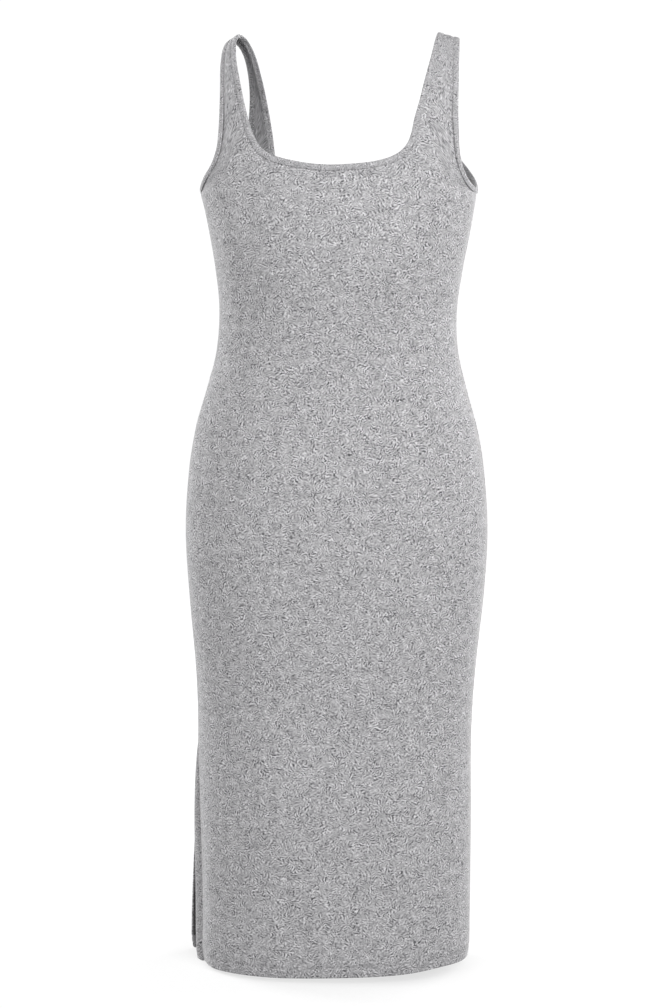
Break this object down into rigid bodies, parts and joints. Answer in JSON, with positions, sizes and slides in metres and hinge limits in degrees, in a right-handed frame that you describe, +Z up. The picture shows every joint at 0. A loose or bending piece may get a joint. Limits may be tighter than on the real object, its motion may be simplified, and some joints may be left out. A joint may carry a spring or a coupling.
{
  "type": "tank dress",
  "caption": "Sleeveless midi tank dress in marled brushed knit, filled out as worn, with a square scoop neck, wide straps, bound edges and a side slit.",
  "frame": {"origin": "midway between the two shoulder crests, at the height of their inner edges, where the wearer's shoulders hold the dress", "axes": "+Z up along the dress, +Y out of the back, -Y out of the front, +X towards the viewer's right when the front is seen"},
  "size_m": [0.383, 0.2394, 1.169],
  "materials": {
    "marled_knit": "brushed marled knit, matt",
    "binding_knit": "brushed marled knit, matt"
  },
  "bodies": {
    "root": {"front_panel": "marled_knit", "back_panel": "marled_knit", "neck_binding": "binding_knit", "armhole_binding_right": "binding_knit", "armhole_binding_left": "binding_knit"}
  },
  "joints": []
}
